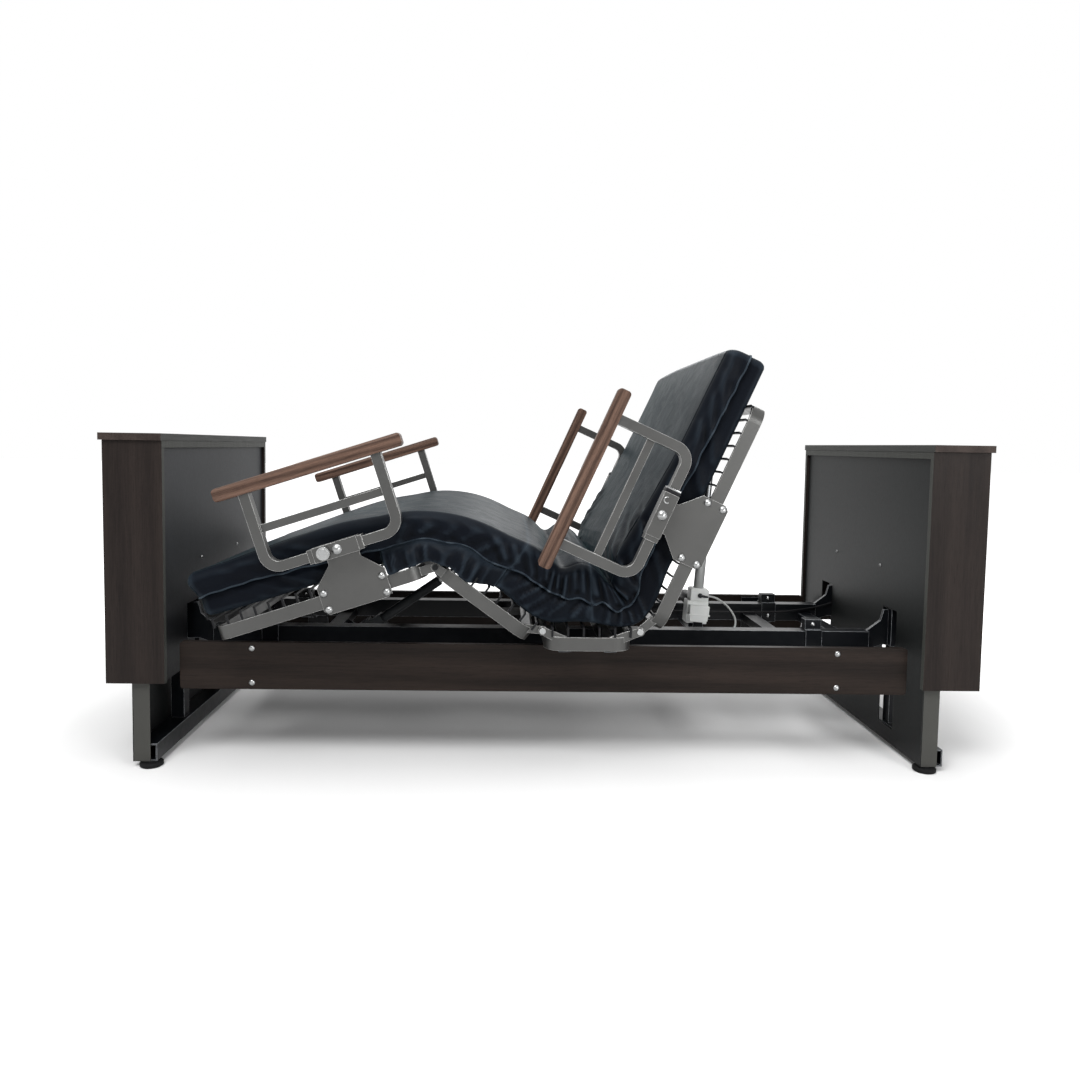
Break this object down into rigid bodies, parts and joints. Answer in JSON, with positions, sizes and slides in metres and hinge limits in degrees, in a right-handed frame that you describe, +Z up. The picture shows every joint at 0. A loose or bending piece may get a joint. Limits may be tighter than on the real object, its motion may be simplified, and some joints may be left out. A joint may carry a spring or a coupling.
{
  "type": "adjustable bed base",
  "caption": "Electric home-care bed: end cabinets that raise a frame, a folding mesh deck with raised back and knees, swing-out assist rails and a mattress.",
  "frame": {"origin": "centre of the footprint on the floor, z = 0 under the glides", "axes": "+X along the bed from the foot end to the head end, +Y across the bed to the far side, +Z up"},
  "size_m": [2.26, 1.1256, 1.0978],
  "materials": {
    "dark_wood": "satin wood-grain laminate",
    "cabinet_edge": "satin laminate",
    "black_panel": "satin powder coat",
    "gray_paint": "satin powder coat",
    "pewter_paint": "semi-gloss metallic paint",
    "black_frame": "gloss paint",
    "black_steel": "satin paint",
    "black_wire": "semi-gloss coating",
    "zinc": "bright zinc",
    "grip_wood": "satin wood-grain",
    "mattress_cover": "stretch cover with a dull sheen",
    "black_plastic": "fine texture",
    "white_plastic": "matte",
    "gray_plastic": "matte",
    "black_rubber": "matte",
    "steel_rod": "ground"
  },
  "bodies": {
    "end_units": {"foot_top": "dark_wood", "head_top": "dark_wood", "cabinet_aprons": "cabinet_edge", "foot_side_panels": "dark_wood", "head_side_panels": "dark_wood", "foot_outer_panel": "dark_wood", "head_outer_panel": "dark_wood", "foot_inner_panel": "black_panel", "panel_screws": "zinc", "leg_sheets": "black_panel", "legs": "gray_paint", "base_channels": "gray_paint", "floor_glides": "black_rubber", "guide_columns": "black_steel", "lift_actuators": "black_plastic"},
    "bed_frame": {"carriages": "black_steel", "main_rails": "black_frame", "cross_tubes": "black_frame", "end_brackets": "black_steel", "outriggers": "black_steel", "saddles": "black_steel", "side_boards": "dark_wood", "board_bolts": "zinc", "actuator_lugs": "black_steel", "control_box": "black_plastic", "back_lead": "white_plastic", "lift_lead": "black_rubber", "seat_supports": "black_steel", "seat_bars": "pewter_paint", "hinge_pins": "zinc", "seat_mesh": "black_wire", "seat_pad": "mattress_cover"},
    "thigh_section": {"thigh_bars": "pewter_paint", "knee_pins": "zinc", "thigh_mesh": "black_wire", "thigh_pad": "mattress_cover"},
    "calf_section": {"calf_bars": "pewter_paint", "calf_mesh": "black_wire", "calf_pad": "mattress_cover", "calf_plates": "pewter_paint", "calf_bolts": "zinc"},
    "back_section": {"back_bars": "pewter_paint", "back_mesh": "black_wire", "back_pad": "mattress_cover", "back_plates": "pewter_paint", "back_bolts": "zinc"},
    "near_foot_assist": {"near_foot_rail": "pewter_paint", "near_foot_grip": "grip_wood"},
    "far_foot_assist": {"far_foot_rail": "pewter_paint", "far_foot_grip": "grip_wood"},
    "near_head_assist": {"near_head_rail": "pewter_paint", "near_head_grip": "grip_wood"},
    "far_head_assist": {"far_head_rail": "pewter_paint", "far_head_grip": "grip_wood"},
    "near_knob": {"near_foot_knob": "zinc"},
    "far_knob": {"far_foot_knob": "zinc"},
    "back_housing": {"back_actuator": "white_plastic"},
    "back_piston": {"back_rod": "steel_rod"},
    "knee_housing": {"knee_actuator": "gray_plastic"},
    "knee_piston": {"knee_rod": "steel_rod"}
  },
  "joints": [
    {"name": "hi_lo", "type": "slide", "parent": "end_units", "child": "bed_frame", "axis": [0, 0, 1], "range_m": [-0.17, 0]},
    {"name": "thigh_lift", "type": "hinge", "parent": "bed_frame", "child": "thigh_section", "pos_m": [-0.017, 0, 0.38], "axis": [0, 1, 0], "range_deg": [-36, 0]},
    {"name": "calf_fold", "type": "hinge", "parent": "thigh_section", "child": "calf_section", "pos_m": [-0.28602, 0, 0.53713], "axis": [0, 1, 0], "range_deg": [0, 54]},
    {"name": "back_lift", "type": "hinge", "parent": "bed_frame", "child": "back_section", "pos_m": [0.228, 0, 0.38], "axis": [0, -1, 0], "range_deg": [-66, 0]},
    {"name": "near_foot_rail_swing", "type": "hinge", "parent": "calf_section", "child": "near_foot_assist", "pos_m": [-0.52061, -0.53, 0.58603], "axis": [0.9511, 0, 0.309], "range_deg": [0, 170]},
    {"name": "near_head_rail_swing", "type": "hinge", "parent": "back_section", "child": "near_head_assist", "pos_m": [0.26475, -0.53, 0.67889], "axis": [0.4067, 0, 0.9135], "range_deg": [0, 170]},
    {"name": "near_knob_pull", "type": "slide", "parent": "calf_section", "child": "near_knob", "axis": [0, -1, 0], "range_m": [0, 0.008], "stiffness_N_per_m": 600, "springref_m": -0.003},
    {"name": "far_foot_rail_swing", "type": "hinge", "parent": "calf_section", "child": "far_foot_assist", "pos_m": [-0.52061, 0.53, 0.58603], "axis": [-0.9511, 0, -0.309], "range_deg": [0, 170]},
    {"name": "far_head_rail_swing", "type": "hinge", "parent": "back_section", "child": "far_head_assist", "pos_m": [0.26475, 0.53, 0.67889], "axis": [-0.4067, 0, -0.9135], "range_deg": [0, 170]},
    {"name": "far_knob_pull", "type": "slide", "parent": "calf_section", "child": "far_knob", "axis": [0, 1, 0], "range_m": [0, 0.008], "stiffness_N_per_m": 600, "springref_m": -0.003},
    {"name": "back_actuator_swing", "type": "hinge", "parent": "bed_frame", "child": "back_housing", "pos_m": [0.484, 0, 0.328], "axis": [0, -1, 0], "range_deg": [-86.36, 0]},
    {"name": "back_actuator_stroke", "type": "slide", "parent": "back_housing", "child": "back_piston", "axis": [0.072, 0, 0.9974], "range_m": [-0.23441, 0]},
    {"name": "knee_actuator_swing", "type": "hinge", "parent": "bed_frame", "child": "knee_housing", "pos_m": [-0.56, 0, 0.253], "axis": [0, -1, 0], "range_deg": [-20.53, 0]},
    {"name": "knee_actuator_stroke", "type": "slide", "parent": "knee_housing", "child": "knee_piston", "axis": [0.8222, 0, 0.5692], "range_m": [-0.07645, 0]}
  ],
  "couplings": [
    {"joint": "calf_fold", "follows": "thigh_lift", "ratio": -1.5},
    {"joint": "back_actuator_swing", "follows": "back_lift", "ratio": 1.3085},
    {"joint": "back_actuator_stroke", "follows": "back_lift", "m_per_rad": 0.20349},
    {"joint": "knee_actuator_swing", "follows": "thigh_lift", "ratio": 0.57015},
    {"joint": "knee_actuator_stroke", "follows": "thigh_lift", "m_per_rad": 0.12166}
  ]
}
